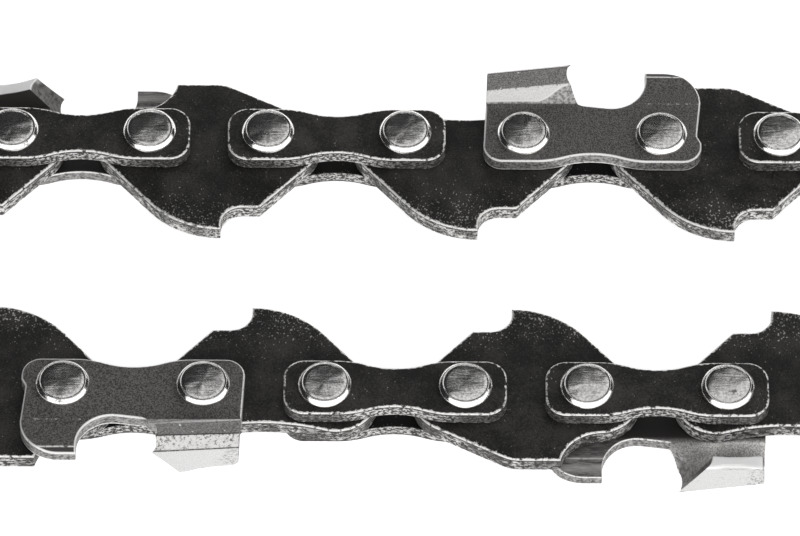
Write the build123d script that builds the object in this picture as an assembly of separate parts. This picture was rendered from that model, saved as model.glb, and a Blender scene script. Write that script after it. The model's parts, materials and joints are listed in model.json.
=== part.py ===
from build123d import *
import os
from math import acos, atan2, cos, hypot, radians, sin, sqrt, tan

os.makedirs("parts", exist_ok=True)

# A closed loop of low-profile saw chain, lying on its side. Millimetres, +Z up, origin under the
# middle of the loop. Every link is drawn in its own flat frame: +X is the way the chain travels,
# +Y points away from the guide bar and +Z runs along the rivets.

# Loop
half_links = 14            # drive links in each half of the loop
strap_pitch = 10.0         # rivet spacing of side plates
drive_pitch = 8.65         # rivet spacing of drive links
turn_bends = [-6.0, 40.0, 45.0, 45.0, 46.0]   # degrees, and a last joint takes what is left

# Thicknesses and fits
gauge = 1.27               # drive link, the width of the bar groove it fits
plate = 1.08               # tie straps and cutters
side_gap = 0.08            # between a drive link and the plate beside it
hub_clearance = 0.05       # radial, between a rivet hub and its drive link

# Rivets
hub_radius = 1.5
shank_radius = 1.2
head_radius = 1.95
head_height = 0.68
head_chamfer = 0.3

# Drive links
lobe_reach = 5.1           # middle of each rounded end from the middle of the link
lobe_radius = 3.0
dip_height = 2.3           # lowest point of a plain link's outer edge
tang_depth = 7.75
tang_tip = 0.95            # front of the tang tip
belly_radius = 7.0
hook_depth = 5.77          # flat ledge ahead of the hook
hook_radius = 1.55
lead_angle = 46.5          # leading flank of the tang against the travel
bump_height = 5.4
bump_back = -2.42
bump_slope = 27.0
bump_blend = 2.5
bump_hollow = 3.1          # radius of the hollow behind the bump

# Tie straps
strap_height = 4.66
strap_reach = 2.95         # strap past its rivets
strap_corner = 1.5
strap_waist = 3.35
waist_length = 8.4

# Cutters
cutter_bottom = 2.35
cutter_reach = 2.95
cutter_corner = 1.4
crease = 2.85              # where the tooth bends out of the side plate
heel_lean = 0.2            # trailing edge leans forward as it rises
gauge_top = 5.85           # depth gauge
gauge_back = 3.93
gauge_round = 2.75
nose_dent = 0.28           # shallow hollow in the leading edge
gullet_radius = 2.53
gullet_height = 5.1
gullet_start = -1.0        # where the gullet begins ahead of the tooth's foot
tooth_tip = -1.72          # filed edge at the tooth's shoulder
top_plate = 1.0
file_radius = 1.27
file_height = 4.94
file_angle = 30.0
# Outer surface of the tooth, (height, outwards from the plate), from the crease to its inner edge
tip_profile = [(3.92, 1.03), (5.28, 1.45), (6.12, 0.51), (6.12, -2.6)]
heel_profile = [(3.37, 0.78), (4.78, 1.08), (5.52, 0.24), (5.52, -1.8)]

half_gap = gauge / 2 + side_gap
half_chain = half_gap + plate
strap_end = strap_pitch / 2 + strap_reach
cutter_end = strap_pitch / 2 + cutter_reach
heel = heel_lean - cutter_end


def on_circle(centre, radius, angle):
    return (centre[0] + radius * cos(angle), centre[1] + radius * sin(angle))


def round_arc(centre, radius, start, end):
    middle = on_circle(centre, radius, (start + end) / 2)
    return ThreePointArc(on_circle(centre, radius, start), middle, on_circle(centre, radius, end))


def angle_to(start, end):
    return atan2(end[1] - start[1], end[0] - start[0])


def slab(edges, bottom, thickness):
    return extrude(Pos(0, 0, bottom) * make_face(edges), thickness)


def rivet_holes(pitch, radius):
    return [Pos(side * pitch / 2, 0) * Cylinder(radius, 4 * half_chain) for side in (-1, 1)]


def waist_edge(height, waist, sign):
    # An edge that narrows to a waist: one hollow arc between two blending ones, from +X to -X.
    half = waist_length / 2
    quarter = half / 2
    level = sign * height
    middle = sign * waist
    knee = (level + middle) / 2
    hollow = ThreePointArc((quarter, knee), (0, middle), (-quarter, knee))
    rise = abs(level - middle) / 2
    radius = (quarter ** 2 + rise ** 2) / (2 * rise)
    inset = level - sign * (radius - sqrt(radius ** 2 - (quarter / 2) ** 2))
    lead = ThreePointArc((half, level), (0.75 * half, inset), (quarter, knee))
    trail = ThreePointArc((-quarter, knee), (-0.75 * half, inset), (-half, level))
    return [lead, hollow, trail]


def tang_edges():
    # The part of a drive link below its rivets, from the leading lobe round to the trailing one.
    lead_lobe = (lobe_reach, 0)
    trail_lobe = (-lobe_reach, 0)
    lead_normal = radians(lead_angle) - radians(90)
    lead_touch = on_circle(lead_lobe, lobe_radius, lead_normal)
    lead_offset = cos(lead_normal) * lobe_reach + lobe_radius
    ledge_front = (lead_offset + sin(lead_normal) * hook_depth) / cos(lead_normal)
    belly = (tang_tip, belly_radius - tang_depth)
    span = hypot(belly[0] - trail_lobe[0], belly[1] - trail_lobe[1])
    trail_normal = angle_to(trail_lobe, belly) - acos((lobe_radius - belly_radius) / span)
    trail_touch = on_circle(trail_lobe, lobe_radius, trail_normal)
    belly_touch = on_circle(belly, belly_radius, trail_normal)
    hook = (tang_tip + hook_radius, -hook_depth - hook_radius)
    edges = [
        Line(lead_touch, (ledge_front, -hook_depth)),
        Line((ledge_front, -hook_depth), (hook[0], -hook_depth)),
        round_arc(hook, hook_radius, radians(90), radians(180)),
        Line((tang_tip, hook[1]), (tang_tip, -tang_depth)),
        round_arc(belly, belly_radius, radians(-90), trail_normal),
        Line(belly_touch, trail_touch),
    ]
    return edges, lead_normal, trail_normal + radians(360)


def plain_top(lead_normal, trail_normal):
    # Outer edge of a plain drive link: a shallow dip tangent to both lobes.
    dip_radius = (lobe_reach ** 2 + dip_height ** 2 - lobe_radius ** 2) / (2 * (lobe_radius - dip_height))
    dip_middle = (0, dip_height + dip_radius)
    lead_lobe = (lobe_reach, 0)
    trail_lobe = (-lobe_reach, 0)
    lead_touch = angle_to(lead_lobe, dip_middle)
    trail_touch = angle_to(trail_lobe, dip_middle)
    return [
        round_arc(lead_lobe, lobe_radius, lead_normal, lead_touch),
        ThreePointArc(on_circle(lead_lobe, lobe_radius, lead_touch), (0, dip_height),
                      on_circle(trail_lobe, lobe_radius, trail_touch)),
        round_arc(trail_lobe, lobe_radius, trail_touch, trail_normal),
    ]


def bumper_top(lead_normal, trail_normal):
    # Outer edge of a bumper drive link: a ramp up from the leading lobe, a flat and a hollow behind it.
    lead_lobe = (lobe_reach, 0)
    trail_lobe = (-lobe_reach, 0)
    slope = radians(bump_slope)
    ramp_touch = radians(90) - slope
    ramp_foot = on_circle(lead_lobe, lobe_radius, ramp_touch)
    corner = ramp_foot[0] - (bump_height - ramp_foot[1]) / tan(slope)
    run = bump_blend * tan(slope / 2)
    blend_middle = (corner - run, bump_height - bump_blend)
    blend_foot = on_circle(blend_middle, bump_blend, ramp_touch)
    back = (bump_back, bump_height)
    to_back = hypot(back[0] - trail_lobe[0], back[1] - trail_lobe[1])
    reach = lobe_radius + bump_hollow
    along = (reach ** 2 - bump_hollow ** 2 + to_back ** 2) / (2 * to_back)
    hollow_angle = angle_to(trail_lobe, back) + acos(along / reach)
    hollow = on_circle(trail_lobe, reach, hollow_angle)
    hollow_start = angle_to(hollow, back)
    hollow_end = hollow_angle - radians(180)
    return [
        round_arc(lead_lobe, lobe_radius, lead_normal, ramp_touch),
        Line(ramp_foot, blend_foot),
        round_arc(blend_middle, bump_blend, ramp_touch, radians(90)),
        Line((blend_middle[0], bump_height), back),
        round_arc(hollow, bump_hollow, hollow_start, hollow_end),
        round_arc(trail_lobe, lobe_radius, hollow_angle, trail_normal),
    ]


def drive_link(top):
    edges, lead_normal, trail_normal = tang_edges()
    body = slab(edges + top(lead_normal, trail_normal), -gauge / 2, gauge)
    return (body - rivet_holes(drive_pitch, hub_radius + hub_clearance)).solid()


def tie_strap():
    # The strap on the +Z side.
    half = strap_height / 2
    inner = half - strap_corner
    turn = strap_end - strap_corner
    waist = waist_length / 2
    edges = waist_edge(half, strap_waist / 2, 1)
    edges += waist_edge(half, strap_waist / 2, -1)
    for side in (-1, 1):
        edges.append(Line((side * strap_end, -inner), (side * strap_end, inner)))
        for level in (-1, 1):
            start = radians(0 if side > 0 else 180)
            edges.append(round_arc((side * turn, level * inner), strap_corner, start,
                                   start + side * level * radians(90)))
            edges.append(Line((side * turn, level * half), (side * waist, level * half)))
    body = slab(edges, half_gap, plate)
    return (body - rivet_holes(strap_pitch, shank_radius)).solid()


def cutter_blank():
    # The flat part of a cutter: the foot with its rivets, the gullet and the depth gauge.
    gullet = (gauge_back - gullet_radius, gullet_height)
    start = (gullet_start, crease)
    to_start = hypot(start[0] - gullet[0], start[1] - gullet[1])
    touch = angle_to(gullet, start) + acos(gullet_radius / to_start)
    bottom = -cutter_bottom
    knee = bottom + cutter_corner
    turn = cutter_end - cutter_corner
    waist = waist_length / 2
    dent = cutter_end - nose_dent
    edges = [
        Line((heel, crease), start),
        Line(start, on_circle(gullet, gullet_radius, touch)),
        round_arc(gullet, gullet_radius, touch, 0),
        Line((gauge_back, gullet_height), (gauge_back, gauge_top)),
        Line((gauge_back, gauge_top), (cutter_end - gauge_round, gauge_top)),
        round_arc((cutter_end - gauge_round, gauge_top - gauge_round), gauge_round, radians(90), 0),
        Line((cutter_end, gauge_top - gauge_round), (dent, nose_dent)),
        Line((dent, nose_dent), (dent, 0)),
        Line((dent, 0), (cutter_end, -2 * nose_dent)),
        Line((cutter_end, -2 * nose_dent), (cutter_end, knee)),
        round_arc((turn, knee), cutter_corner, 0, radians(-90)),
        Line((turn, bottom), (waist, bottom)),
        Line((-waist, bottom), (-turn, bottom)),
        round_arc((-turn, knee), cutter_corner, radians(-90), radians(-180)),
        Line((-cutter_end, knee), (heel, crease)),
    ]
    edges += waist_edge(cutter_bottom, strap_waist / 2, -1)
    body = slab(edges, half_gap, plate)
    return body - rivet_holes(strap_pitch, shank_radius)


def tooth_section(x):
    # The bent sheet of the tooth where it is cut across at x.
    share = (x - heel) / (tooth_tip - heel)
    outer = [(crease, 0.0)]
    for back, front in zip(heel_profile, tip_profile):
        outer.append(tuple(b + share * (f - b) for b, f in zip(back, front)))
    foot, joggle, shoulder, top, edge = outer
    inner = [
        (edge[0] - top_plate, edge[1]),
        (top[0] - top_plate, shoulder[1] - plate),
        (joggle[0], joggle[1] - plate),
        (foot[0], -plate),
    ]
    points = [Vector(x, height, half_chain + out) for height, out in outer + inner]
    return Face(Wire.make_polygon(points))


def tooth():
    # The filed hook leans across the chain, so that the outer corner leads. Below it the blank keeps its front.
    corner_height, corner_out = tip_profile[1]
    file_middle = tooth_tip + sqrt(file_radius ** 2 - (corner_height - file_height) ** 2)
    blank = loft([tooth_section(heel), tooth_section(gullet_start)], ruled=True)
    reach = 4 * file_radius
    mark = Circle(file_radius) + Pos(reach / 2, reach / 2) * Rectangle(reach, reach)
    place = Pos(file_middle, file_height, half_chain + corner_out)
    lean = (sin(radians(file_angle)), 0, cos(radians(file_angle)))
    return blank - extrude(place * mark, 3 * reach, dir=lean, both=True)


def rivet():
    head_end = half_chain + head_height
    rim = head_radius - head_chamfer
    upper = [
        (hub_radius, half_gap), (shank_radius, half_gap), (shank_radius, half_chain),
        (head_radius, half_chain), (head_radius, head_end - head_chamfer), (rim, head_end), (0, head_end),
    ]
    lower = [(radius, -height) for radius, height in reversed(upper)]
    return revolve(Plane.XZ * make_face(Polyline(*lower, *upper, close=True)), Axis.Z).solid()


def outer_link(front, rear):
    pins = [Pos(side * strap_pitch / 2, 0) * rivet() for side in (-1, 1)]
    return Compound([front, mirror(rear, Plane.XY)] + pins)


def loop_places():
    # Middle and heading of each link, outer and drive links in turn, round the whole loop.
    joints = 2 * half_links
    bends = turn_bends + [180 - sum(turn_bends)]
    first = half_links - len(bends) // 2
    x, y, heading = 0.0, 0.0, 0.0
    half = []
    for joint in range(joints):
        half.append((x, y, heading))
        here, ahead = (strap_pitch, drive_pitch) if joint % 2 == 0 else (drive_pitch, strap_pitch)
        x += here / 2 * cos(radians(heading))
        y += here / 2 * sin(radians(heading))
        if first <= joint < first + len(bends):
            heading -= bends[joint - first]
        x += ahead / 2 * cos(radians(heading))
        y += ahead / 2 * sin(radians(heading))
    half = [(px - x / 2, py - y / 2, turn) for px, py, turn in half]
    return half + [(-px, -py, turn - 180) for px, py, turn in half]


strap = tie_strap()
cutter = (cutter_blank() + tooth()).solid()
outer_kinds = [
    ("right_cutter_link", outer_link(cutter, strap)),
    ("tie_strap_link", outer_link(strap, strap)),
    ("left_cutter_link", outer_link(strap, cutter)),
    ("tie_strap_link", outer_link(strap, strap)),
]
drive_kinds = [("bumper_drive_link", drive_link(bumper_top)), ("plain_drive_link", drive_link(plain_top))]
lift = -min(shape.bounding_box().min.Z for name, shape in outer_kinds)

for index, (x, y, heading) in enumerate(loop_places()):
    number = index // 2
    kinds = outer_kinds if index % 2 == 0 else drive_kinds
    name, shape = kinds[number % len(kinds)]
    placed = shape.moved(Location((x, y, lift), (0, 0, heading)))
    export_step(placed, f"parts/{name}_{number + 1:02d}.step")
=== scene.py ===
import json
import math

import bmesh
import bpy
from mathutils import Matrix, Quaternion, Vector
from mathutils.geometry import delaunay_2d_cdt

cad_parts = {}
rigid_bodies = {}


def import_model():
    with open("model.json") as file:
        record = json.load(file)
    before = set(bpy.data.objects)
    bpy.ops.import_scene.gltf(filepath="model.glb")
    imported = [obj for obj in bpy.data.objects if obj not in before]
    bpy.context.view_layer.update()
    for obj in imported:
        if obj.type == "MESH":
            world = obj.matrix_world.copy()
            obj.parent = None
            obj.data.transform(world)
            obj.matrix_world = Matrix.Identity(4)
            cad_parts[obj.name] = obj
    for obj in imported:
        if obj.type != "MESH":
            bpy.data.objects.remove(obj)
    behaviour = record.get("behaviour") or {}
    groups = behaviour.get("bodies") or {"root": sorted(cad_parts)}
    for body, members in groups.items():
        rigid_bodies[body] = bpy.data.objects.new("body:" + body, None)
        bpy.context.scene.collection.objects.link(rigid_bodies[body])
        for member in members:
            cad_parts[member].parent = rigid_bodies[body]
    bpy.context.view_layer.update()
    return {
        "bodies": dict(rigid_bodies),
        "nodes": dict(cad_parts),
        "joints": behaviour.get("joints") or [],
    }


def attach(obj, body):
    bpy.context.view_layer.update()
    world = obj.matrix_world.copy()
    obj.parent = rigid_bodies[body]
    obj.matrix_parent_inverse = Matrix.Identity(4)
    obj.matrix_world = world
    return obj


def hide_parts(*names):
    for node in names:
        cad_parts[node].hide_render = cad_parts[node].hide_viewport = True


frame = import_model()
print("frame loaded,", len(frame["nodes"]), "links")

# A loop of saw chain lying on its side. Every link is drawn in millimetres in its own flat frame,
# with x along the travel, y away from the bar and z along the rivets, then set in its place.
mm = 0.001


class Wire:
    # a node's output that takes part in sums
    def __init__(self, graph, socket):
        self.graph = graph
        self.socket = socket

    def maths(self, operation, *values):
        return self.graph.node("ShaderNodeMath", {"operation": operation}, dict(enumerate(values)))

    def __add__(self, other):
        return self.maths("ADD", self, other)

    __radd__ = __add__

    def __sub__(self, other):
        return self.maths("SUBTRACT", self, other)

    def __rsub__(self, other):
        return self.maths("SUBTRACT", other, self)

    def __mul__(self, other):
        return self.maths("MULTIPLY", self, other)

    __rmul__ = __mul__

    def __pow__(self, other):
        return self.maths("POWER", self, other)

    def __abs__(self):
        return self.maths("ABSOLUTE", self)


class Graph:
    # a node tree that is being wired
    def __init__(self, tree):
        self.tree = tree

    def node(self, kind, settings=None, sockets=None, output=0):
        made = self.tree.nodes.new(kind)
        for name, value in (settings or {}).items():
            setattr(made, name, value)
        for name, value in (sockets or {}).items():
            if isinstance(value, Wire):
                self.tree.links.new(value.socket, made.inputs[name])
            else:
                made.inputs[name].default_value = value
        return Wire(self, made.outputs[output]) if made.outputs else None

    def colours(self, share, *tones):
        first, second = [tone if isinstance(tone, Wire) else (*tone, 1.0) for tone in tones]
        return self.node("ShaderNodeMix", {"data_type": "RGBA"}, {0: share, 6: first, 7: second}, 2)

    def layered(self, base, layers):
        # each layer lies over the ones before it, where its mask is 1
        for mask, tone in layers:
            base = self.colours(mask, base, tone)
        return base

    def between(self, value, low, high):
        # 0 below low, 1 above high, smooth in between; low may be the larger one
        return self.node("ShaderNodeMapRange", {"interpolation_type": "SMOOTHSTEP"}, {0: value, 1: low, 2: high})

    def within(self, value, zone):
        # 0 outside the zone's first and last limits, 1 between its inner two
        start, full, ebb, end = zone
        return self.between(value, start, full) * self.between(value, end, ebb)

    def near(self, value, target, reach):
        # 1 up to 0.3 of the reach from the target, 0 further off than the reach
        return self.between(abs(value - target), reach, 0.3 * reach)

    def larger(self, first, second):
        return first.maths("MAXIMUM", first, second)

    def attribute(self, name, output="Fac"):
        return self.node("ShaderNodeAttribute", {"attribute_name": name}, None, output)

    def axis(self, value, name):
        return self.node("ShaderNodeSeparateXYZ", None, {0: value}, name)


def newObject(name, data):
    made = bpy.data.objects.new(name, data)
    bpy.context.scene.collection.objects.link(made)
    return made


# Places of the links

def linkNumber(body):
    number = int(body.rsplit("_", 1)[1])
    return 2 * number - (1 if "drive" in body else 2)


def rivetPlaces():
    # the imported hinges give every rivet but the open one, which is half a turn from the first
    places = {int(joint["name"].rsplit("_", 1)[1]): Vector(joint["pos_m"]) for joint in frame["joints"]}
    count = len(frame["nodes"])
    for number in range(1, count + 1):
        if number not in places:
            opposite = places[(number + count // 2 - 1) % count + 1]
            places[number] = Vector((-opposite.x, -opposite.y, opposite.z))
    places[0] = places[count]
    return places


rivets = rivetPlaces()


def linkPlace(body):
    number = linkNumber(body)
    back, front = rivets[number], rivets[number + 1]
    return (back + front) / 2, math.atan2(front.y - back.y, front.x - back.x)


# Outlines

fits = {
    "gauge": 1.27,  # drive link thickness
    "plate": 1.08,  # strap and cutter thickness
    "sideGap": 0.08,
    "hubRadius": 1.5,
    "hubClearance": 0.05,
    "shankRadius": 1.2,
    "strapPitch": 10.0,
    "strapReach": 2.95,  # of a side plate beyond its rivets
    "drivePitch": 8.65,
    "step": 0.18,  # between points of an outline
}
halfGap = fits["gauge"] / 2 + fits["sideGap"]
halfChain = halfGap + fits["plate"]
plateEnd = fits["strapPitch"] / 2 + fits["strapReach"]
rightAngle = math.radians(90)


def onCircle(centre, radius, angle):
    return (centre[0] + radius * math.cos(angle), centre[1] + radius * math.sin(angle))


def angleTo(start, end):
    return math.atan2(end[1] - start[1], end[0] - start[0])


def arc(centre, radius, start, end):
    # points from start up to, and without, the end
    count = max(3, math.ceil(abs(end - start) * radius / fits["step"]))
    return [onCircle(centre, radius, start + (end - start) * k / count) for k in range(count)]


def line(*corners):
    # points from corner to corner, without the last one
    points = []
    for start, end in zip(corners, corners[1:]):
        count = max(1, math.ceil(math.dist(start, end) / (2 * fits["step"])))
        points += [tuple(a + (b - a) * k / count for a, b in zip(start, end)) for k in range(count)]
    return points


def circle(centre, radius, count=30):
    return [onCircle(centre, radius, 2 * math.pi * k / count) for k in range(count)]


def neighbours(outline):
    # each point with the ones before and after it
    points = [Vector(point) for point in outline]
    return zip(points[-1:] + points[:-1], points, points[1:] + points[:1])


def insetLoop(outline, distances):
    # each point moved inwards, square to its two edges
    moved = []
    for distance, (before, here, after) in zip(distances, neighbours(outline)):
        sides = [(b - a).normalized() for a, b in ((before, here), (here, after))]
        normals = [Vector((-side.y, side.x)) for side in sides]
        inward = (normals[0] + normals[1]).normalized()
        moved.append(here + inward * distance / max(punched["leastSquare"], inward.dot(normals[0])))
    return moved


def wearBand(outline):
    # how far in the wear strip reaches at each point: less by an outward corner, where it would cross itself
    corners = []
    for before, here, after in neighbours(outline):
        if (here - before).angle_signed(after - here) < -math.radians(punched["cornerAngle"]):
            corners.append(here)
    band, least = punched["band"], punched["roll"] + punched["slack"]
    gaps = [min((math.dist(point, corner) for corner in corners), default=band) for point in outline]
    return [min(band, max(least, punched["gapShare"] * gap)) for gap in gaps]


# Punched sheet metal: a rolled front edge, a sheared wall and a small burr behind

punched = {
    "roll": 0.14,  # rounded edge on the outer face
    "burr": 0.07,  # edge on the inner face
    "band": 0.5,  # strip along the edge that carries wear
    "slack": 0.02,  # least width of that strip beyond the rounded edge
    "gapShare": 0.8,  # how much of the way to a corner it may reach in
    "leastSquare": 0.55,  # limits the inset of sharp corners
    "rollTurns": (0, 30, 60, 90),
    "wallRows": 5,
    "burrTurns": (90, 45, 0),
    "sharpAngle": 42,
    "cornerAngle": 24,
    "frontLine": (0.0, 0.015),  # where bright lines lie across the edge: 0 front face, 1 back face
    "backLine": (0.84, 0.9, 0.97, 1.0),
    "lineSwing": 0.16,  # how raggedly the front one ends
}


def edgeSection(thickness):
    # (part, inset, depth) from the front face round to the back one
    roll, burr, rows = punched["roll"], punched["burr"], punched["wallRows"]
    section = [("band", 0.0, 0.0)]
    for angle in map(math.radians, punched["rollTurns"]):
        section.append(("roll", roll * (1 - math.sin(angle)), roll * (1 - math.cos(angle))))
    for row in range(1, rows):
        section.append(("wall", 0.0, roll + (thickness - roll - burr) * row / rows))
    for angle in map(math.radians, punched["burrTurns"]):
        section.append(("burr", burr * (1 - math.sin(angle)), thickness - burr * (1 - math.cos(angle))))
    return section + [("band", 0.0, thickness)]


def sheetMesh(name, outline, holes, thickness, place, softness=None, inner=(), innerEdges=()):
    # place turns (x, y, depth from the front) into a point; softness scales the edge's rounding
    shape = bmesh.new()
    skin = shape.verts.layers.float.new("skin")  # 0 on the front face, 1 on the back one
    rim = shape.verts.layers.float.new("rim")  # 1 along the edges
    flat = shape.verts.layers.float.new("flat")  # height before any bending
    softness = softness or [1.0] * len(outline)

    def newVert(point, depth, worn):
        vert = shape.verts.new(place(point[0], point[1], depth))
        vert[skin], vert[rim], vert[flat] = depth / thickness, worn, point[1]
        return vert

    strip = []
    for reach, soft in zip(wearBand(outline), softness):
        least = punched["roll"] * soft + punched["slack"]
        strip.append(max(least, min(reach, punched["band"] * min(1.0, soft))))
    rings = []
    for part, inset, depth in edgeSection(thickness):
        insets = strip if part == "band" else [inset * soft for soft in softness]
        ring = []
        for soft, point in zip(softness, insetLoop(outline, insets)):
            level = depth
            if part == "roll":
                level = depth * soft
            if part == "burr":
                level = thickness - (thickness - depth) * soft
            ring.append(newVert(point, level, 0.0 if part == "band" else 1.0))
        rings.append(ring)
    count = len(outline)
    for upper, lower in zip(rings, rings[1:]):
        for k in range(count):
            n = (k + 1) % count
            shape.faces.new((upper[k], lower[k], lower[n], upper[n]))
    ends = []
    for depth, ring in ((0.0, rings[0]), (thickness, rings[-1])):
        spots, verts = insetLoop(outline, strip), list(ring)
        borders = [list(range(count))]
        for points in [circle(centre, radius) for centre, radius in holes] + [inner]:
            start = len(spots)
            for point in points:
                verts.append(newVert(point, depth, 0.0))
                spots.append(Vector(point))
            borders.append(list(range(start, len(spots))))
        borders.pop()
        edges = [(border[k - 1], border[k]) for border in borders[1:] for k in range(len(border))]
        edges += [(start + a, start + b) for a, b in innerEdges]
        made = delaunay_2d_cdt(spots, edges, [borders[0]], 1, 1e-7)  # 1 keeps what is inside the outline
        triangles, sources = made[2], made[3]
        for triangle in triangles:
            corners = [verts[sources[k][0]] for k in triangle]
            middle = sum((spots[sources[k][0]] for k in triangle), Vector((0, 0))) / 3
            if any(math.dist(middle, centre) < radius for centre, radius in holes):
                continue
            shape.faces.new(corners if depth == 0.0 else corners[::-1])
        ends.append([[verts[k] for k in border] for border in borders[1:]])
    for front, back in zip(*ends):
        for k in range(len(front)):
            shape.faces.new((front[k - 1], front[k], back[k], back[k - 1]))
    for vert in [v for v in shape.verts if not v.link_faces]:
        shape.verts.remove(vert)
    shadeSmooth(shape)
    for border in (rings[1], rings[-2]):
        for k in range(count):
            shape.edges.get((border[k - 1], border[k])).smooth = False
    return finishedMesh(shape, name)


def shadeSmooth(shape):
    # smooth all over but for the sharp edges
    bmesh.ops.recalc_face_normals(shape, faces=shape.faces[:])
    for face in shape.faces:
        face.smooth = True
    limit = math.radians(punched["sharpAngle"])
    for edge in shape.edges:
        edge.smooth = edge.calc_face_angle(0.0) < limit


def finishedMesh(shape, name):
    mesh = bpy.data.meshes.new(name)
    shape.to_mesh(mesh)
    shape.free()
    return mesh


def mirroredMesh(mesh, name):
    # the same piece on the other side of the chain
    shape = bmesh.new()
    shape.from_mesh(mesh)
    for vert in shape.verts:
        vert.co.z = -vert.co.z
    bmesh.ops.reverse_faces(shape, faces=shape.faces[:])
    return finishedMesh(shape, name)


def blankObject(mesh):
    # holds a mesh for the node trees to copy, and isn't in the scene itself
    return bpy.data.objects.new(mesh.name, mesh)


def bothSides(mesh, rearName):
    return blankObject(mesh), blankObject(mirroredMesh(mesh, rearName))


# Drive links

driveLink = {
    "lobeReach": 5.1,
    "lobeRadius": 3.0,
    "dipHeight": 2.3,
    "tangDepth": 7.75,
    "tangTip": 0.95,
    "bellyRadius": 7.0,
    "hookDepth": 5.77,
    "hookRadius": 1.55,
    "leadAngle": 46.5,
    "bumpHeight": 5.4,
    "bumpBack": -2.42,
    "bumpSlope": 27.0,
    "bumpBlend": 2.5,
    "bumpHollow": 3.1,
}


def driveOutline(bumper):
    d = driveLink
    lead, trail = (d["lobeReach"], 0.0), (-d["lobeReach"], 0.0)
    radius = d["lobeRadius"]
    leadNormal = math.radians(d["leadAngle"] - 90)
    ledgeSpan = math.cos(leadNormal) * d["lobeReach"] + radius + math.sin(leadNormal) * d["hookDepth"]
    ledge = (ledgeSpan / math.cos(leadNormal), -d["hookDepth"])
    belly = (d["tangTip"], d["bellyRadius"] - d["tangDepth"])
    trailNormal = angleTo(trail, belly) - math.acos((radius - d["bellyRadius"]) / math.dist(belly, trail))
    hook = (d["tangTip"] + d["hookRadius"], -d["hookDepth"] - d["hookRadius"])
    if bumper:
        slope, top = math.radians(d["bumpSlope"]), d["bumpHeight"]
        foot = onCircle(lead, radius, rightAngle - slope)
        corner = foot[0] - (top - foot[1]) / math.tan(slope) - d["bumpBlend"] * math.tan(slope / 2)
        blend = (corner, top - d["bumpBlend"])
        back = (d["bumpBack"], top)
        reach = radius + d["bumpHollow"]
        far = math.dist(back, trail)
        spread = (reach ** 2 - d["bumpHollow"] ** 2 + far ** 2) / (2 * far * reach)
        turn = angleTo(trail, back) + math.acos(spread)
        hollow = onCircle(trail, reach, turn)
        points = arc(lead, radius, leadNormal, rightAngle - slope)
        points += line(foot, onCircle(blend, d["bumpBlend"], rightAngle - slope))
        points += arc(blend, d["bumpBlend"], rightAngle - slope, rightAngle)
        points += line((corner, top), back)
        points += arc(hollow, d["bumpHollow"], angleTo(hollow, back), turn - math.pi)
        points += arc(trail, radius, turn, trailNormal + 2 * math.pi)
    else:
        dip = (d["lobeReach"] ** 2 + d["dipHeight"] ** 2 - radius ** 2) / (2 * (radius - d["dipHeight"]))
        middle = (0.0, d["dipHeight"] + dip)
        leadTurn, trailTurn = angleTo(lead, middle), angleTo(trail, middle)
        points = arc(lead, radius, leadNormal, leadTurn)
        points += arc(middle, dip, leadTurn - math.pi, trailTurn - math.pi)
        points += arc(trail, radius, trailTurn, trailNormal + 2 * math.pi)
    points += line(onCircle(trail, radius, trailNormal), onCircle(belly, d["bellyRadius"], trailNormal))
    points += arc(belly, d["bellyRadius"], trailNormal, -rightAngle)
    points += line((d["tangTip"], -d["tangDepth"]), (d["tangTip"], hook[1]))
    points += arc(hook, d["hookRadius"], math.pi, rightAngle)
    return points + line((hook[0], -d["hookDepth"]), ledge, onCircle(lead, radius, leadNormal))


def rivetHoles(pitch, radius):
    return [((side * pitch / 2, 0.0), radius) for side in (-1, 1)]


shankHoles = rivetHoles(fits["strapPitch"], fits["shankRadius"])


def driveBlank(name, bumper):
    gauge = fits["gauge"]
    hole = fits["hubRadius"] + fits["hubClearance"]
    return sheetMesh(name, driveOutline(bumper), rivetHoles(fits["drivePitch"], hole), gauge,
                     lambda x, y, depth: (x, y, gauge / 2 - depth))


# Tie straps

tieStrap = {
    "height": 4.66,
    "corner": 1.5,
    "waist": 3.35,
    "waistLength": 8.4,
}


def plateEdge(half, corner):
    # from +x to -x along an upper edge: round a corner, through the waist and round the other corner
    length, waist = tieStrap["waistLength"], tieStrap["waist"] / 2
    turn, level, rise = plateEnd - corner, half - corner, (half - waist) / 2
    radius = ((length / 4) ** 2 + rise ** 2) / (2 * rise)
    swing = math.asin(length / 4 / radius)
    points = arc((turn, level), corner, 0.0, rightAngle) + line((turn, half), (length / 2, half))
    points += arc((length / 2, half - radius), radius, rightAngle, rightAngle + swing)
    points += arc((0.0, waist + radius), radius, swing - rightAngle, -swing - rightAngle)
    points += arc((-length / 2, half - radius), radius, rightAngle - swing, rightAngle)
    points += line((-length / 2, half), (-turn, half))
    return points + arc((-turn, level), corner, rightAngle, 2 * rightAngle)


def strapOutline():
    half, corner = tieStrap["height"] / 2, tieStrap["corner"]
    points = line((plateEnd, corner - half), (plateEnd, half - corner)) + plateEdge(half, corner)
    return points + [(-x, -y) for x, y in points]


def strapBlank(name):
    return sheetMesh(name, strapOutline(), shankHoles, fits["plate"], lambda x, y, depth: (x, y, halfChain - depth))


# Cutters

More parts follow.
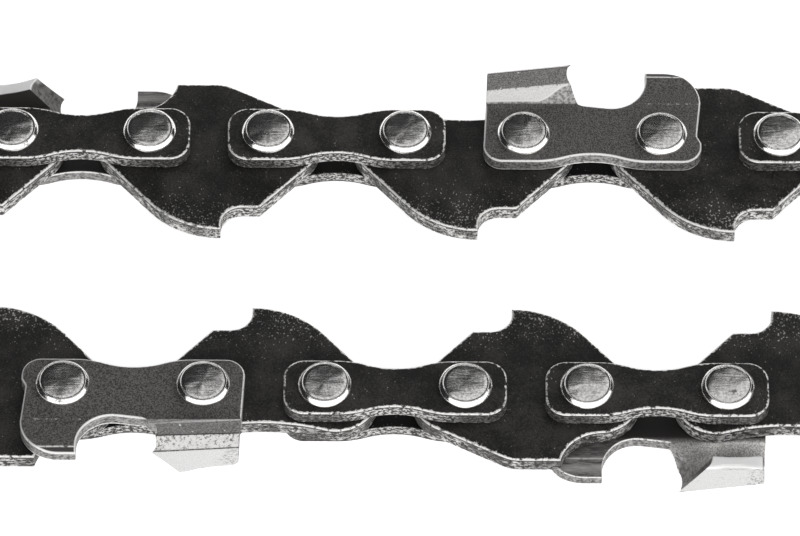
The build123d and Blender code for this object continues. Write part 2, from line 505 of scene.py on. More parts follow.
cutter = {
    "bottom": 2.35,
    "corner": 1.4,
    "crease": 2.85,
    "heelLean": 0.2,
    "gaugeTop": 5.85,
    "gaugeBack": 3.93,
    "gaugeRound": 2.75,
    "noseDent": 0.28,
    "gulletRadius": 2.53,
    "gulletHeight": 5.1,
    "gulletStart": -1.0,
    "toothTip": -1.72,
    "topPlate": 1.0,
    "fileRadius": 1.27,
    "fileHeight": 4.94,
    "fileAngle": 30.0,
    "tip": [(3.92, 1.03), (5.28, 1.45), (6.12, 0.51), (6.12, -2.6)],
    "heel": [(3.37, 0.78), (4.78, 1.08), (5.52, 0.24), (5.52, -1.8)],
    "heelRake": 0.2,  # the trailing edge comes forward towards the top plate's free corner
    "heelCorner": 0.5,
    "heelTurn": [1.0, 0.6, 0.3, 0.12, 0.03],  # rows round that corner, as shares of it
    "heelGap": 0.1,  # left between them and the other rows
    "innerCorner": (0.25, 0.3),
    "bends": [0.42, 0.35, 0.12, 0.12],  # how far from each bend the sheet starts to turn
    "bendShare": 0.45,  # most of a strip that a bend may take up
    "bendRows": 4,
    "rowStep": 0.3,
    "rowGap": 0.07,  # between the wear strip and the rows
    "columns": 15,
    "filedEdge": 0.12,  # softness of the filed edge
    "heelEdge": 0.5,  # of the trailing edge
    "freeEdge": 3.4,  # and of the top plate's free edge
    "freeRamp": 3,  # which is reached a third of the way along it
    "fileRounds": 4,
    "slantReach": 0.5,  # height over which the filed face takes on its slant
    "footHeel": 0.12,  # share of the bend that is rounded at its foot, at the heel and at the filed edge
    "footTip": 0.85,
    "footGrowth": 1.5,  # the change begins a third of the way along the tooth
    "gaugeCrease": 2.95,  # the depth gauge leans out a little above this line
    "gaugeLean": 0.04,
    "gaugeBevel": 0.36,  # slope of the bevel along the gauge's top, as high as the wear strip
}
crease, gaugeCrease = cutter["crease"], cutter["gaugeCrease"]
toothTip, gulletStart = cutter["toothTip"], cutter["gulletStart"]
heelX = cutter["heelLean"] - plateEnd
tipCorner = cutter["tip"][1]
fileDrop = tipCorner[0] - cutter["fileHeight"]
fileMiddle = toothTip + math.sqrt(cutter["fileRadius"] ** 2 - fileDrop ** 2)


def alongTooth(x):
    # 0 at the heel, 1 at the tooth's tip
    return (x - heelX) / (toothTip - heelX)


def bentSection(x):
    # outer and inner corners of the bent sheet, as (height, outwards), where it is cut across at x
    outer = [Vector((crease, 0.0))]
    for back, front in zip(cutter["heel"], cutter["tip"]):
        outer.append(Vector(back).lerp(Vector(front), alongTooth(x)))
    foot, joggle, shoulder, top, edge = outer
    plate, thick = fits["plate"], cutter["topPlate"]
    corner = Vector((top[0] - thick, shoulder[1] - plate))
    below, inwards = cutter["innerCorner"]
    inner = [foot - Vector((0.0, plate)), joggle - Vector((0.0, plate)), corner - Vector((below, 0.0)),
             corner - Vector((0.0, inwards)), edge - Vector((thick, 0.0))]
    return outer, inner


def alongSection(corners, s):
    # a point at a distance s along the section, rounded at its bends
    lengths = sheetLengths
    reach = 0.0
    for k, length in enumerate(lengths):
        if s <= reach + length or k == len(lengths) - 1:
            break
        reach += length
    point = corners[k].lerp(corners[k + 1], (s - reach) / length)
    for at, away, sign in ((k, s - reach, 1), (k + 1, reach + length - s, -1)):
        if not 0 < at < len(lengths):
            continue
        soft = min(cutter["bends"][at], cutter["bendShare"] * min(lengths[at - 1], lengths[at]))
        if away < soft:
            before = corners[at].lerp(corners[at - 1], soft / lengths[at - 1])
            after = corners[at].lerp(corners[at + 1], soft / lengths[at])
            t = 0.5 + 0.5 * (away / soft) * sign
            point = before * (1 - t) ** 2 + corners[at] * 2 * t * (1 - t) + after * t ** 2
    return point


tipSection = bentSection(toothTip)[0]
sheetLengths = [(second - first).length for first, second in zip(tipSection, tipSection[1:])]
sheetEnd = crease + sum(sheetLengths)


def footEase(x, s):
    # how much less the sheet has turned out than a straight slope would, as a share of the whole bend
    rise = s / sheetLengths[0]
    if rise >= 1:
        return 0.0
    growth = cutter["footGrowth"]
    share = min(1.0, max(0.0, alongTooth(x) * growth - (growth - 1)))
    foot = cutter["footHeel"] + (cutter["footTip"] - cutter["footHeel"]) * share ** 2
    eased = rise ** 2 / (2 * foot) if rise < foot else rise - foot / 2
    return eased / (1 - foot / 2) - rise


def toothPoint(x, s, depth):
    outer, inner = bentSection(x)
    point = alongSection(outer, s).lerp(alongSection(inner, s), depth / fits["plate"])
    return point + Vector((0.0, outer[1][1] * footEase(x, s)))


def filedX(s, depth):
    # where the file's round has cut the sheet; below the bend its front runs straight down to the gullet
    x = toothTip
    for _ in range(cutter["fileRounds"]):
        height, out = toothPoint(x, max(s, sheetLengths[0]), depth)
        hollow = cutter["fileRadius"] ** 2 - (height - cutter["fileHeight"]) ** 2
        lean = math.tan(math.radians(cutter["fileAngle"])) * (out - tipCorner[1])
        x = fileMiddle + lean - math.sqrt(max(0.0, hollow))
    return gulletStart + (x - gulletStart) * min(1.0, s / sheetLengths[0])


def heelEdge(s):
    # trailing edge of the tooth, with a rounded free corner
    whole, corner = sheetEnd - crease, cutter["heelCorner"]
    turn = max(0.0, s - whole + corner)
    return heelX + cutter["heelRake"] * s / whole + corner - math.sqrt(corner ** 2 - turn ** 2)


def cutterPoint(x, y, depth):
    s = y - crease
    if x > gulletStart + cutter["gulletRadius"] and y > gaugeCrease:
        lean = cutter["gaugeLean"] * (y - gaugeCrease)
        bevel = cutter["gaugeBevel"] * max(0.0, y - cutter["gaugeTop"] + punched["band"])
        return (x, y, halfChain - depth + lean - bevel * (1 - depth / fits["plate"]))
    if s <= 0 or x > 0:
        return (x, y, halfChain - depth)
    outerEdge = filedX(s, 0.0)
    share = (x - heelX) / (outerEdge - heelX)
    slant = min(1.0, s / cutter["slantReach"])
    front = outerEdge + slant * (filedX(s, depth) - outerEdge)
    placed = heelX + share * (front - heelX)
    height, out = toothPoint(placed, s, depth)
    return (placed, height, halfChain + out)


def cutterOutline():
    c = cutter
    gullet = (c["gaugeBack"] - c["gulletRadius"], c["gulletHeight"])
    start = (gulletStart, crease)
    touch = angleTo(gullet, start) + math.acos(c["gulletRadius"] / math.dist(gullet, start))
    end, knee = plateEnd, c["corner"] - c["bottom"]
    dent, top, curve = c["noseDent"], c["gaugeTop"], c["gaugeRound"]
    points = line((end, knee), (end, -2 * dent), (end - dent, 0.0), (end - dent, dent), (end, top - curve))
    points += arc((end - curve, top - curve), curve, 0.0, rightAngle)
    points += line((end - curve, top), (c["gaugeBack"], top), (c["gaugeBack"], c["gulletHeight"]))
    points += arc(gullet, c["gulletRadius"], 0.0, touch)
    points += line(onCircle(gullet, c["gulletRadius"], touch), start)
    soft = [1.0] * len(points)
    rows = toothRows()
    filed = [(filedX(s, 0.0), crease + s) for s in rows]
    points += filed
    soft += [c["filedEdge"]] * len(filed)
    across, tip, free = c["columns"], filed[-1][0], heelEdge(rows[-1])
    for k in range(1, across):
        points.append((tip + (free - tip) * k / across, sheetEnd))
        ramp = min(1.0, c["freeRamp"] * min(k, across - k) / across)
        soft.append(c["heelEdge"] + (c["freeEdge"] - c["heelEdge"]) * ramp)
    turning = [rows[-1] - c["heelCorner"] * share for share in c["heelTurn"]]
    heelRows = [s for s in rows if s < turning[0] - c["heelGap"]] + turning
    points += [(heelEdge(s), crease + s) for s in reversed(heelRows)]
    soft += [c["heelEdge"]] * len(heelRows)
    tail = line((heelX, crease), (-end, knee))[1:]
    tail += [(-x, -y) for x, y in plateEdge(c["bottom"], c["corner"])]
    return points + tail, soft + [1.0] * len(tail)


def toothRows():
    # distances along the sheet, close together at the bends
    marks = [0.0]
    reach = 0.0
    bends = cutter["bends"]
    for k, length in enumerate(sheetLengths):
        most = cutter["bendShare"] * length
        start = reach + (min(bends[k], most) if k else bends[k])
        end = reach + length - (min(bends[k + 1], most) if k + 1 < len(sheetLengths) else 0.0)
        before, parts = marks[-1], cutter["bendRows"] if k else cutter["bendRows"] - 1
        marks += [before + (start - before) * n / parts for n in range(1, parts)]
        count = max(1, math.ceil((end - start) / cutter["rowStep"]))
        marks += [start + (end - start) * n / count for n in range(count + 1)]
        reach += length
    return marks


def cutterBlank(name):
    outline, soft = cutterOutline()
    inner, edges = [], []
    across, gaugeBack = cutter["columns"], cutter["gaugeBack"]

    def clears(point):
        return min(math.dist(point, corner) for corner in outline) > punched["band"] + cutter["rowGap"]

    for s in toothRows():
        front = filedX(s, 0.0)
        joined = False
        for k in range(1, across):
            point = (heelX + (front - heelX) * k / across, crease + s)
            clear = clears(point)
            if clear and joined:
                edges.append((len(inner) - 1, len(inner)))
            if clear:
                inner.append(point)
            joined = clear
    fold = len(inner)
    for k in range(across + 1):
        point = (gaugeBack + (plateEnd - gaugeBack) * k / across, gaugeCrease)
        if clears(point):
            inner.append(point)
    edges += [(k, k + 1) for k in range(fold, len(inner) - 1)]
    return sheetMesh(name, outline, shankHoles, fits["plate"], cutterPoint, soft, inner, edges)


# Rivets

rivet = {
    "headRadius": 1.95,
    "headHeight": 0.68,
    "segments": 48,
    # low dome, groove with its rim, bevel; as shares of radius and height
    "head": [(0.0, 1.0), (0.25, 0.99), (0.5, 0.97), (0.68, 0.947), (0.765, 0.933),
             (0.785, 0.912), (0.81, 0.912), (0.83, 0.937), (0.85, 0.937), (0.87, 0.905),
             (0.975, 0.6), (0.99, 0.52), (1.0, 0.38), (1.0, 0.12), (0.985, 0.0)],
}


def rivetMesh(name):
    r = rivet
    half = [(r["headRadius"] * a, halfChain + r["headHeight"] * b) for a, b in r["head"]]
    shank, hub = fits["shankRadius"], fits["hubRadius"]
    half += [(shank, halfChain), (shank, halfGap), (hub, halfGap)]
    profile = half + [(radius, -height) for radius, height in reversed(half)]
    shape = bmesh.new()
    verts = [shape.verts.new((radius, 0.0, height)) for radius, height in profile]
    edges = [shape.edges.new(pair) for pair in zip(verts, verts[1:])]
    bmesh.ops.spin(shape, geom=verts + edges, axis=(0, 0, 1), cent=(0, 0, 0), angle=2 * math.pi,
                   steps=r["segments"], use_merge=True)
    bmesh.ops.remove_doubles(shape, verts=shape.verts[:], dist=1e-5)
    shadeSmooth(shape)
    return finishedMesh(shape, name)


# Node trees that set the pieces round the loop

wander = {
    "wall": 0.075,  # how far walls and rivet heads wander, in millimetres
    "head": 0.12,
    "wallScale": 3.2,
    "headScale": 0.6,
    "wallZone": (0.03, 0.25, 0.9, 1.0),  # across the edge
    "headZone": (0.05, 0.3),  # above the plate
    "seedStep": 3.7,  # from link to link
}


def newTree(name, own):
    sizes = own + [("Middle", "Vector"), ("Heading", "Float"), ("Roughness", "Float"), ("Seed", "Float"),
                   ("Finish", "Material")]
    tree = bpy.data.node_groups.new(name, "GeometryNodeTree")
    for label, kind in sizes:
        tree.interface.new_socket(label, in_out="INPUT", socket_type="NodeSocket" + kind)
    tree.interface.new_socket("Geometry", in_out="OUTPUT", socket_type="NodeSocketGeometry")
    graph = Graph(tree)
    start = tree.nodes.new("NodeGroupInput")
    inputs = {label: Wire(graph, start.outputs[label]) for label, kind in sizes}
    return graph, inputs


def labelled(graph, geometry, position, inputs):
    # stores what the finishes read: each point's place in its own link, and the link's seed
    for name, kind, value in (("place", "FLOAT_VECTOR", position), ("batch", "FLOAT", inputs["Seed"])):
        geometry = graph.node("GeometryNodeStoreNamedAttribute", {"data_type": kind, "domain": "POINT"},
                              {"Geometry": geometry, "Name": name, "Value": value})
    return geometry


def roughened(graph, geometry, inputs, scale, mask):
    # moves the surface in and out a little, differently on every link
    grain = graph.node("ShaderNodeTexNoise", {"noise_dimensions": "4D"},
                       {"W": inputs["Seed"], "Scale": scale, "Detail": 2.0, "Roughness": 0.6})
    normal = graph.node("GeometryNodeInputNormal")
    amount = (grain - 0.5) * inputs["Roughness"] * mask
    offset = graph.node("ShaderNodeVectorMath", {"operation": "SCALE"}, {0: normal, "Scale": amount})
    return graph.node("GeometryNodeSetPosition", None, {"Geometry": geometry, "Offset": offset})


def setInPlace(graph, geometry, inputs):
    turn = graph.node("ShaderNodeCombineXYZ", None, {"Z": inputs["Heading"]})
    turned = graph.node("GeometryNodeTransform", None, {
        "Geometry": geometry, "Translation": inputs["Middle"], "Rotation": turn, "Scale": (mm, mm, mm)})
    whole = graph.node("GeometryNodeRealizeInstances", None, {"Geometry": turned})
    painted = graph.node("GeometryNodeSetMaterial", None, {"Geometry": whole, "Material": inputs["Finish"]})
    end = graph.tree.nodes.new("NodeGroupOutput")
    graph.tree.links.new(painted.socket, end.inputs[0])
    return graph.tree


def plateTree():
    graph, inputs = newTree("punchedPlate", [("Blank", "Object")])
    plate = graph.node("GeometryNodeObjectInfo", None, {"Object": inputs["Blank"]}, "Geometry")
    plate = labelled(graph, plate, graph.node("GeometryNodeInputPosition"), inputs)
    skin = graph.node("GeometryNodeInputNamedAttribute", {"data_type": "FLOAT"}, {"Name": "skin"})
    wall = graph.within(skin, wander["wallZone"])
    plate = roughened(graph, plate, inputs, wander["wallScale"], wall)
    return setInPlace(graph, plate, inputs)


def rivetTree():
    graph, inputs = newTree("rivetPair", [("Rivet", "Object"), ("Pitch", "Float")])
    rivetShape = graph.node("GeometryNodeObjectInfo", None, {"Object": inputs["Rivet"]}, "Geometry")
    start, end = [graph.node("ShaderNodeCombineXYZ", None, {"X": inputs["Pitch"] * side}) for side in (-0.5, 0.5)]
    ends = graph.node("GeometryNodeMeshLine", {"mode": "END_POINTS"}, {
        "Count": 2, "Start Location": start, "Offset": end})
    pair = graph.node("GeometryNodeInstanceOnPoints", None, {"Points": ends, "Instance": rivetShape})
    pair = graph.node("GeometryNodeRealizeInstances", None, {"Geometry": pair})
    position = graph.node("GeometryNodeInputPosition")
    pair = labelled(graph, pair, position, inputs)
    head = graph.between(abs(graph.axis(position, "Z")), *[halfChain + rise for rise in wander["headZone"]])
    pair = roughened(graph, pair, inputs, wander["headScale"], head)
    return setInPlace(graph, pair, inputs)


def bakedPiece(name, tree, values, body, slot):
    # a plain mesh of what the tree makes, with the tree taken off again
    holder = newObject(name, bpy.data.meshes.new(name))
    modifier = holder.modifiers.new("shape", "NODES")
    modifier.node_group = tree
    for item in tree.interface.items_tree:
        if item.in_out == "INPUT":
            modifier[item.identifier] = values[item.name]
    holder.update_tag()
    evaluated = holder.evaluated_get(bpy.context.evaluated_depsgraph_get())
    mesh = bpy.data.meshes.new_from_object(evaluated)
    holder.modifiers.remove(modifier)
    mesh.name = name
    holder.data = mesh
    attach(holder, body)
    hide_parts(body)


# Finishes

def newFinish(name):
    material = bpy.data.materials.new(name)
    material.use_nodes = True
    material.node_tree.nodes.clear()
    return material, Graph(material.node_tree)


def closeFinish(graph, sockets):
    shader = graph.node("ShaderNodeBsdfPrincipled", None, sockets)
    graph.node("ShaderNodeOutputMaterial", None, {"Surface": shader})


def grainNoises(graph, place, grains):
    # a noise for each row, different on every link
    batch = graph.attribute("batch")
    noises = {}
    for name, (scale, detail, rough, stretch) in grains.items():
        spread = graph.node("ShaderNodeVectorMath", {"operation": "MULTIPLY"}, {0: place, 1: stretch})
        noises[name] = graph.node("ShaderNodeTexNoise", {"noise_dimensions": "4D"}, {
            "Vector": spread, "W": batch, "Scale": scale, "Detail": detail, "Roughness": rough})
    return noises


def bumped(graph, height, strength, distance):
    return graph.node("ShaderNodeBump", None, {"Height": height, "Strength": strength, "Distance": distance})


even = (1.0, 1.0, 1.0)
oxide = {
    "coat": (0.0125, 0.0118, 0.0112),
    "coatWorn": (0.05, 0.0472, 0.045),
    "inner": (0.008, 0.0075, 0.007),
    "bare": (0.9, 0.885, 0.87),
    "sheared": (0.036, 0.0342, 0.0324),
    "dust": (0.8, 0.785, 0.765),
    "coatRough": 0.55,
    "bareRough": 0.34,
    "bump": (0.55, 0.06 * mm),  # strength and distance
    "grains": {  # scale, detail, roughness and stretch
        "cloud": (0.45, 3.0, 0.55, even),
        "specks": (7.5, 1.5, 0.55, (1.0, 0.8, 1.0)),
        "mottle": (5.0, 4.0, 0.65, (0.7, 0.7, 1.3)),
        "patch": (0.9, 2.0, 0.55, even),
        "ragged": (3.4, 4.0, 0.65, even),
        "fine": (8.0, 2.0, 0.55, even),
    },
    "speckLevels": (0.69, 0.12, 0.06, 0.06),  # least noise of a speck, less on tangs, edges and clouds
    "wallZone": (0.05, 0.16, 0.95, 0.99),  # across the edge
    "shearZone": (0.15, 0.24, 0.95, 0.99),
    "ledge": (-3.0, -4.5),  # heights where the tang's hook begins to be polished
    "waist": (5.5, 2.5),  # and distances from the middle where a strap's waist does
    "drive": (-7.6, -2.4, 0.0),  # heights of many and few specks, share of polish at the waist
    "strap": (-14.0, -3.0, 0.9),
}


def oxideFinish(name, speckFoot, speckTop, waisted):
    # black oxide that has worn to pale specks, to a ragged bright line along the edges and to mottled walls
    material, graph = newFinish(name)
    between, larger = graph.between, graph.larger
    place, skin, rim = graph.attribute("place", "Vector"), graph.attribute("skin"), graph.attribute("rim")
    travel, height = graph.axis(place, "X"), graph.axis(place, "Y")
    reach = abs(travel)
    cloud, specks, mottle, patch, ragged, fine = grainNoises(graph, place, oxide["grains"]).values()
    low = between(height, speckTop, speckFoot)
    level, lowDrop, rimDrop, cloudDrop = oxide["speckLevels"]
    limit = level - lowDrop * low - rimDrop * rim ** 2.0 + cloudDrop * (0.5 - cloud)
    speck = between(specks - limit, 0.0, 0.07)

    # bare steel: patches of the sheared walls, lines along both edges and chips beside the front one
    wall = graph.within(skin, oxide["wallZone"])
    hook = driveLink["tangTip"]
    ledge = between(height, *oxide["ledge"]) * between(travel, hook - 0.2, hook)
    polished = larger(ledge, waisted * between(reach, *oxide["waist"]))
    polished = larger(polished, between(patch, 0.35, 0.65) * (1.0 - waisted))
    sheared = between(mottle, 0.47, 0.57) * (0.12 + 0.66 * polished) * graph.within(skin, oxide["shearZone"])
    width = skin + punched["lineSwing"] * (ragged - 0.5)
    thinner = 0.06 * between(reach, 7.2, 7.7)
    front = between(skin, *punched["frontLine"]) * between(width, 0.12, 0.08) * between(ragged - thinner, 0.36, 0.48)
    chips = between(rim + 1.8 * (ragged - 0.5), 1.02, 1.1) * between(skin, 0.12, 0.08)
    back = graph.within(skin, punched["backLine"]) * between(ragged, 0.5, 0.6)
    worn = larger(larger(sheared, larger(front, chips * 0.85)), back * 0.6)

    closeFinish(graph, {
        "Base Color": graph.layered(oxide["coat"], [
            (between(cloud + 0.9 * (fine - 0.5), 0.3, 0.8), oxide["coatWorn"]),
            (between(skin, 0.97, 1.0), oxide["inner"]),
            (wall, oxide["sheared"]),
            (speck * (0.25 + 0.35 * between(cloud, 0.4, 0.7)), oxide["dust"]),
            (worn, oxide["bare"]),
        ]),
        "Metallic": worn * 0.4,
        "Roughness": oxide["coatRough"] + worn * (oxide["bareRough"] - oxide["coatRough"]) + 0.12 * (fine - 0.5),
        "Normal": bumped(graph, fine * 0.35 + mottle * wall * 1.4 + speck * 0.3, *oxide["bump"]),
        "Specular IOR Level": 0.2,
    })
    return material


steel = {
    "speckle": ("grain", 0.37, 0.63),  # noise that mixes two tones, and its steps
    "zones": {  # dark and light tone, and how they mix where they aren't speckled
        "side": ((0.045, 0.0425, 0.041), (0.19, 0.181, 0.176)),
        # painted shade: the foot of the bend, below the painted highlight along the fold
        "foot": ((0.22, 0.214, 0.21), (0.6, 0.59, 0.58), "mottle", 0.4, 0.6),
        # painted highlight: the bend strip is painted bright where it would catch the light
        "bendHighlight": ((0.72, 0.71, 0.7), (0.9, 0.89, 0.88)),
        "shoulder": ((0.12, 0.116, 0.113), (0.345, 0.337, 0.33)),
        "bevel": ((0.1, 0.097, 0.094), (0.5, 0.49, 0.482), "mottle", 0.36, 0.52),
        "inner": ((0.4, 0.39, 0.38), (0.85, 0.83, 0.81)),
        "hollow": ((0.17, 0.165, 0.16), (0.4, 0.39, 0.38)),
        "gauge": ((0.07, 0.066, 0.065), (0.32, 0.305, 0.3), "scratch", 0.4, 0.66),
        "wall": ((0.05, 0.047, 0.045), (0.39, 0.382, 0.375), "mottle", 0.36, 0.62),
        "filed": ((0.06, 0.057, 0.055), (0.2, 0.193, 0.188), "streak", 0.35, 0.62),
    },
    "innerPlate": (0.03, 0.028, 0.027),
    "gaugeFoot": (0.07, 0.066, 0.065),
    "gaugePale": (0.6, 0.59, 0.58),
    # painted shade on the underside of the top plate
    "under": (0.05, 0.047, 0.045),
    # painted shade: dark lines along the bends of the sheet
    "bendShade": (0.06, 0.057, 0.055),
    "plated": (0.59, 0.588, 0.585),
    "scratch": (0.28, 0.27, 0.265),
    "crown": (0.07, 0.067, 0.065),
    "bright": (0.9, 0.89, 0.88),
    # painted highlight: the top plate's free edge, painted almost white
    "brimHighlight": (0.98, 0.975, 0.97),
    "sideRough": 0.46,
    "platedRough": 0.28,
    "bump": (0.4, 0.05 * mm),
    "grains": {
        "grain": (11.0, 2.0, 0.6, even),
        "scratch": (2.6, 4.0, 0.72, (0.35, 2.4, 1.2)),
        "mottle": (4.4, 4.0, 0.68, (1.0, 1.0, 1.3)),
        "chips": (2.6, 1.0, 0.55, even),
        "cloud": (0.7, 2.0, 0.55, even),
        "streak": (3.4, 3.0, 0.65, (1.2, 1.2, 0.6)),
    },
    "edgeZone": (0.06, 0.16, 0.93, 0.985),  # across the edge
    "filedZone": (0.0, 0.04, 0.93, 0.985),
    "gaugeFold": 1.35,  # height above the gauge's crease of the fold on its inner side
    "gaugeBand": 2.2,  # and of the pale band beyond it
}


def cutterFinish(name):
    # grained grey side plates, a bend painted bright as a highlight, a plated top whose free edge is painted bright
    # as a highlight, and filed or sheared edges
    material, graph = newFinish(name)
    colours, layered, between, near = graph.colours, graph.layered, graph.between, graph.near
    place, skin, flat = graph.attribute("place", "Vector"), graph.attribute("skin"), graph.attribute("flat")
    travel = graph.axis(place, "X")
    noises = grainNoises(graph, place, steel["grains"])
    grain, scratch, mottle, chips, cloud = list(noises.values())[:5]
    zone = {}
    for key, (dark, light, *mix) in steel["zones"].items():
        noise, low, high = mix or steel["speckle"]
        zone[key] = colours(between(noises[noise], low, high), dark, light)

    # lines on the flat sheet, and masks for the tooth, the gauge, the inner side and the edges
    gaugeBack = cutter["gaugeBack"]
    joggle, shoulder, top = [crease + sum(sheetLengths[:k]) for k in (1, 2, 3)]
    crownFoot = cutter["gaugeTop"] - punched["band"]
    tooth = between(travel, 0.4, 0.2) * between(flat, crease - 0.06, crease + 0.06)
    gaugeSide = between(travel, gaugeBack - 0.6, gaugeBack - 0.2)
    inside = between(skin, 0.93, 1.0)
    outside = 1.0 - inside
    edge = graph.within(skin, steel["edgeZone"])
    # painted highlight: the top plate's rounded free edge is painted almost white
    brimHighlight = between(flat, sheetEnd - 0.3, sheetEnd - 0.1)
    lip = between(flat, sheetEnd - 0.7, sheetEnd - 0.55) * between(skin, 0.3, 0.15)
    free = brimHighlight * between(skin, 1.0, 0.97)
    cut = (1.0 - brimHighlight) * (1.0 - lip)
    filed = cut * graph.within(skin, steel["filedZone"]) * tooth * between(flat, joggle - 0.4, joggle)
    wall = cut * edge * (1.0 - filed)

    # one tone for each strip of the sheet, from the foot over the bends to the top plate; several of them are
    # painted light: painted shade on the foot, a painted highlight along the fold above it and on the bend, and
    # painted shade lines along the bends
    # height of a painted highlight along the fold; the foot below it is painted shade
    foldHighlightLine = crease + 0.32 + 1.15 * between(travel, -4.1, toothTip)
    upper = colours(between(chips, 0.69, 0.73), zone["shoulder"], steel["bright"])
    heel = between(travel + 2.4 * (cloud - 0.5), heelX + 1.5, heelX + 0.6)
    scuffed = heel * between(mottle, 0.5, 0.58) + 0.4 * between(scratch, 0.62, 0.72)
    plated = colours(scuffed, steel["plated"], steel["scratch"])
    # painted shade: dark lines along the shoulder, the top and the crease
    bendShadeLines = near(flat, shoulder, 0.07) + near(flat, top - 0.05, 0.12) * between(mottle, 0.42, 0.5)
    bendShadeLines = graph.larger(bendShadeLines, near(flat, crease + 0.03, 0.1) * 0.8)
    strips = layered(zone["bendHighlight"], [
        (between(flat - foldHighlightLine, 0.0, -0.08), zone["foot"]),
        (near(flat - foldHighlightLine, 0.07, 0.13), steel["bright"]),
        (between(flat, joggle - 0.08, joggle + 0.04), upper),
        (between(flat, shoulder - 0.05, shoulder + 0.03), zone["bevel"]),
        (bendShadeLines, steel["bendShade"]),
        (between(flat, top - 0.05, top + 0.03), plated),
    ])

    # the inner side: the gauge with its fold, the hollow by the gullet, the plate and the top's underside, which is
    # darkened as painted shade
    rise, fold = flat - gaugeCrease, steel["gaugeFold"]
    gauge = layered(zone["gauge"], [
        (between(rise, fold, fold - 0.4) * 0.5, steel["gaugeFoot"]),
        (near(rise, steel["gaugeBand"], 0.5) * 0.45, steel["gaugePale"]),
        (near(rise, fold, 0.09) * between(mottle, 0.36, 0.46) * 0.6, steel["bright"]),
    ])
    inner = layered(zone["inner"], [
        (between(travel, toothTip - 2.4, toothTip - 0.9), zone["hollow"]),
        (between(travel, 0.6, 1.8), gauge),
        (between(flat, crease + 0.1, crease - 0.5), steel["innerPlate"]),
        (between(flat, shoulder, top), steel["under"]),
    ])

    # wear: ragged lines along both edges of the side plate, and bright ones where the sheet bends, which are partly
    # burnished wear and partly a painted highlight
    width = skin + punched["lineSwing"] * (mottle - 0.5)
    front = between(skin, *punched["frontLine"]) * between(width, 0.15, 0.1) * between(mottle, 0.3, 0.44)
    back = graph.within(skin, punched["backLine"]) * between(mottle, 0.34, 0.48)
    # bright line along the joggle: partly burnished wear, partly a painted highlight
    bends = near(flat, joggle, 0.13) * between(travel, 0.0, -0.6)
    folds = near(flat, gaugeCrease, 0.08) * between(mottle, 0.5, 0.6) * 0.5 + near(flat, crownFoot, 0.09)
    lines = (bends + folds * gaugeSide) * outside * between(mottle, 0.36, 0.5) * (1.0 - edge)
    worn = graph.larger(graph.larger(front, back) * (1.0 - tooth), lines)
    shiny = tooth * between(flat, shoulder - 0.05, shoulder + 0.05) * outside * (1.0 - free) * (1.0 - filed)
    closeFinish(graph, {
        "Base Color": layered(zone["side"], [
            (tooth, strips),
            (gaugeSide * between(flat, crownFoot, crownFoot + 0.06), steel["crown"]),
            (inside, inner),
            (wall, zone["wall"]),
            (free, steel["brimHighlight"]),
            (filed, zone["filed"]),
            (worn, steel["bright"]),
        ]),
        "Metallic": 0.35 + 0.6 * shiny - 0.25 * tooth * (1.0 - shiny) - 0.1 * free,
        "Roughness": steel["sideRough"] + 0.2 * (grain - 0.5) - shiny * (steel["sideRough"] - steel["platedRough"]),
        "Normal": bumped(graph, grain * (1.0 - 0.5 * tooth) + mottle * edge + scratch * tooth * 0.3, *steel["bump"]),
        "Specular IOR Level": 0.4,
    })
    return material


peened = {
    "steel": (0.88, 0.865, 0.85),
    "grained": (0.62, 0.61, 0.6),
    "dark": (0.07, 0.065, 0.062),
    "rough": 0.15,
    "bump": (0.16, 0.06 * mm),
    "faceLevel": 0.62,  # the hammered face begins this high above the plate
    "grains": {
        "patch": (0.75, 3.0, 0.6, (1.0, 1.0, 0.4)),
        "lines": (1.6, 4.0, 0.7, (0.4, 3.0, 1.0)),
        "grain": (6.0, 2.0, 0.6, even),
    },
}


def rivetFinish(name):
    # hammered heads: bright steel with streaks and a little of the dark coat left in the hollows
    material, graph = newFinish(name)
    place = graph.attribute("place", "Vector")
    faceLevel = halfChain + peened["faceLevel"]
    face = graph.between(abs(graph.axis(place, "Z")), faceLevel - 0.04, faceLevel)
    patch, lines, grain = grainNoises(graph, place, peened["grains"]).values()
    dark = graph.between(patch + 0.3 * (lines - 0.5) + 0.15 * (grain - 0.5), 0.62, 0.7)
    steelTone = graph.colours(face * graph.between(grain, 0.36, 0.62), peened["steel"], peened["grained"])
    closeFinish(graph, {
        "Base Color": graph.colours(dark * 0.8, steelTone, peened["dark"]),
        "Metallic": 1.0 - 0.4 * dark,
        "Roughness": peened["rough"] + 0.16 * (grain - 0.4),
        "Normal": bumped(graph, grain * 0.12 + lines * (0.3 + 0.7 * face), *peened["bump"]),
        "Specular IOR Level": 0.5,
    })
    return material


driveOxide = oxideFinish("driveOxide", *oxide["drive"])
strapOxide = oxideFinish("strapOxide", *oxide["strap"])
cutterSteel = cutterFinish("cutterSteel")
rivetSteel = rivetFinish("rivetSteel")
print("finishes ready")

bumperDrive = blankObject(driveBlank("bumperBlank", True))
plainDrive = blankObject(driveBlank("plainBlank", False))
frontStrap, rearStrap = bothSides(strapBlank("strapBlank"), "rearStrapBlank")
frontCutter, rearCutter = bothSides(cutterBlank("cutterBlank"), "rearCutterBlank")
rivetBlank = blankObject(rivetMesh("rivetBlank"))
for blank in (bumperDrive, frontStrap, frontCutter, rivetBlank):
    print("blank ready:", blank.name, len(blank.data.polygons))

# finish and slot of each sort of plate, and the plates of each sort of link
coats = {"plate": (driveOxide, "oxide"), "strap": (strapOxide, "strap"), "cutter": (cutterSteel, "cutter")}
linkPlates = {
    "bumper_drive_link": {"plate": bumperDrive},
    "plain_drive_link": {"plate": plainDrive},
    "right_cutter_link": {"cutter": frontCutter, "strap": rearStrap},
    "left_cutter_link": {"strap": frontStrap, "cutter": rearCutter},
    "tie_strap_link": {"front_strap": frontStrap, "rear_strap": rearStrap},
}
plates = plateTree()
rivetPair = rivetTree()

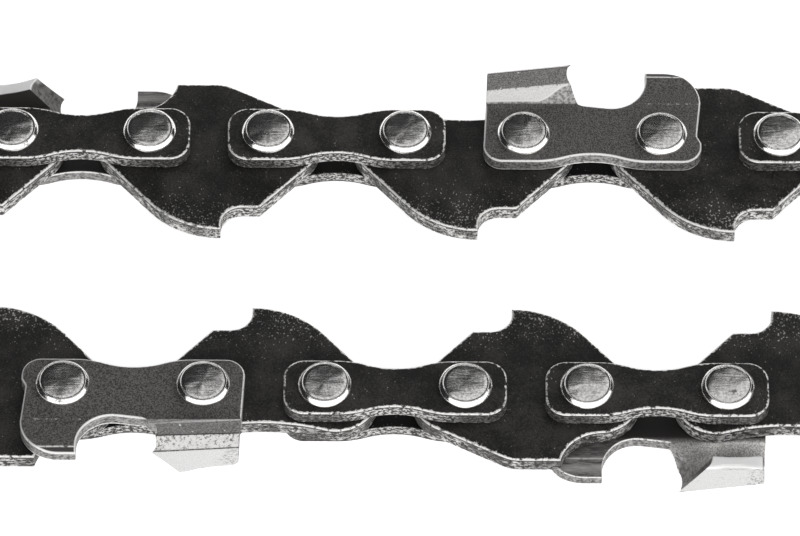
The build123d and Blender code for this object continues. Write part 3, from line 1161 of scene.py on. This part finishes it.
for body in frame["bodies"]:
    middle, heading = linkPlace(body)
    common = {"Middle": middle, "Heading": heading, "Seed": wander["seedStep"] * linkNumber(body)}
    for label, blank in linkPlates[body.rsplit("_", 1)[0]].items():
        finish, slot = coats[label.split("_")[-1]]
        values = {**common, "Blank": blank, "Roughness": wander["wall"], "Finish": finish}
        bakedPiece(f"{body}_{label}", plates, values, body, slot)
    if "drive" not in body:
        values = {**common, "Rivet": rivetBlank, "Pitch": fits["strapPitch"], "Roughness": wander["head"],
                  "Finish": rivetSteel}
        bakedPiece(body + "_rivets", rivetPair, values, body, "strap")


# Floor, light and camera

studio = {
    "floorSize": 6.0,
    "floorTone": (0.93, 0.93, 0.93, 1.0),
    "floorGlow": 0.72,
    "skyTone": (0.02, 0.02, 0.02, 1.0),
    "boxes": {  # place, aim, size and power
        "frontBox": ((-0.05, -0.97, 0.58), (-0.05, 0, 0), (3.2, 0.95), 15.3),
        "sideBox": ((1.2, -0.25, 0.5), (0, 0, 0), (1.1, 0.7), 3.9),
        "backBox": ((0.2, 1.2, 0.38), (0, 0, 0), (2.0, 0.5), 6.2),
        "topBox": ((0.36, 0.37, 1.0), (0.36, 0.37, 0), (1.6, 0.9), 3.5),
    },
    "topTurn": 45.0,
    "target": (-0.01616, 0.00052),  # in the plane of the chain's middle
    "elevation": 54.0,
    "azimuth": -0.34,
    "roll": 0.63,
    "distance": 0.52,
    "lens": 323.7,
}


def floorPlane():
    half = studio["floorSize"] / 2
    mesh = bpy.data.meshes.new("floor")
    corners = [(-half, -half, 0), (half, -half, 0), (half, half, 0), (-half, half, 0)]
    mesh.from_pydata(corners, [], [(0, 1, 2, 3)])
    floor = newObject("floor", mesh)
    material, graph = newFinish("paleFloor")
    closeFinish(graph, {"Base Color": studio["floorTone"], "Roughness": 0.9, "Specular IOR Level": 0.1,
                        "Emission Color": (1.0, 1.0, 1.0, 1.0), "Emission Strength": studio["floorGlow"]})
    mesh.materials.append(material)


def softbox(name, place, aim, size, power):
    lamp = bpy.data.lights.new(name, "AREA")
    lamp.shape = "RECTANGLE"
    lamp.size, lamp.size_y = size
    lamp.energy = power
    holder = newObject(name, lamp)
    holder.location = place
    holder.rotation_euler = (Vector(aim) - Vector(place)).to_track_quat("-Z", "Y").to_euler()
    return holder


def lightRoom():
    world = bpy.data.worlds.new("studio")
    bpy.context.scene.world = world
    world.use_nodes = True
    world.node_tree.nodes["Background"].inputs["Color"].default_value = studio["skyTone"]
    boxes = {name: softbox(name, *row) for name, row in studio["boxes"].items()}
    boxes["topBox"].rotation_euler = (0, 0, math.radians(studio["topTurn"]))


def placeCamera():
    camera = newObject("camera", bpy.data.cameras.new("camera"))
    camera.data.lens = studio["lens"]
    camera.data.sensor_width = 36.0
    camera.data.clip_start = 0.01
    rise, swing = math.radians(studio["elevation"]), math.radians(studio["azimuth"])
    back = Vector((math.sin(swing) * math.cos(rise), -math.cos(swing) * math.cos(rise), math.sin(rise)))
    target = Vector((*studio["target"], rivets[0].z))
    camera.location = target + back * studio["distance"]
    level = (-back).to_track_quat("-Z", "Y")
    camera.rotation_euler = (level @ Quaternion((0, 0, 1), math.radians(studio["roll"]))).to_euler()
    bpy.context.scene.camera = camera


floorPlane()
lightRoom()
placeCamera()
bpy.context.scene.view_settings.view_transform = "Standard"
print("studio ready")
